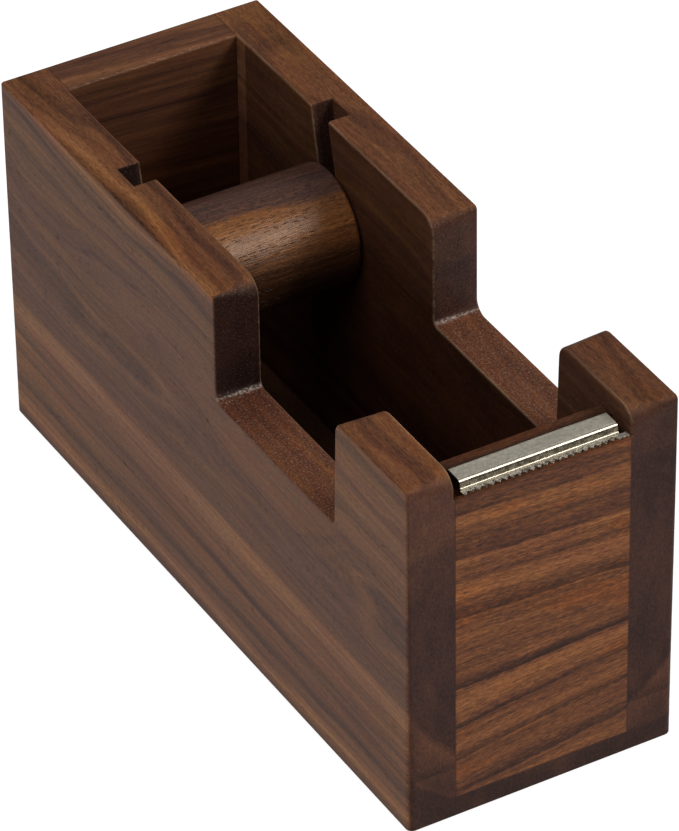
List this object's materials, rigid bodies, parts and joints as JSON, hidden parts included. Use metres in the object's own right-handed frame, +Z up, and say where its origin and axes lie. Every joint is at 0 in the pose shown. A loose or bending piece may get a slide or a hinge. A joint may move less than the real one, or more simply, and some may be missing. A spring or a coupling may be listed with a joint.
{
  "type": "tape dispenser",
  "caption": "Walnut desk tape dispenser: stepped box with an open well, lift-out wooden roller on a steel axle, and serrated steel blade between two posts.",
  "frame": {"origin": "on the surface the pads stand on, under the middle of the case", "axes": "+X across the case to its right side, +Y towards the back, away from the blade, +Z up"},
  "size_m": [0.055, 0.1484, 0.0769],
  "materials": {
    "side_walnut": "oiled walnut, long grain, end grain at the front",
    "base_walnut": "oiled walnut, end grain at the front",
    "block_walnut": "oiled walnut, grain across",
    "roller_walnut": "turned and oiled walnut, slight gloss",
    "dowel_beech": "plain beech",
    "blade_steel": "satin flat with bright bends",
    "axle_steel": "drawn steel rod",
    "pad_rubber": "matt black"
  },
  "bodies": {
    "case": {"left_side_panel": "side_walnut", "right_side_panel": "side_walnut", "base_board": "base_walnut", "front_block": "block_walnut", "back_block": "block_walnut", "front_left_dowels": "dowel_beech", "front_right_dowels": "dowel_beech", "back_left_dowels": "dowel_beech", "back_right_dowels": "dowel_beech", "cutting_blade": "blade_steel", "front_left_pad": "pad_rubber", "front_right_pad": "pad_rubber", "back_left_pad": "pad_rubber", "back_right_pad": "pad_rubber"},
    "axle": {"roller_axle": "axle_steel"},
    "roller": {"tape_roller": "roller_walnut"}
  },
  "joints": [
    {"name": "roller_lift", "type": "slide", "parent": "case", "child": "axle", "axis": [0, 0.2164, 0.9763], "range_m": [0, 0.045]},
    {"name": "roller_spin", "type": "hinge", "parent": "axle", "child": "roller", "pos_m": [0, 0.0297, 0.0555], "axis": [1, 0, 0], "continuous": true}
  ]
}
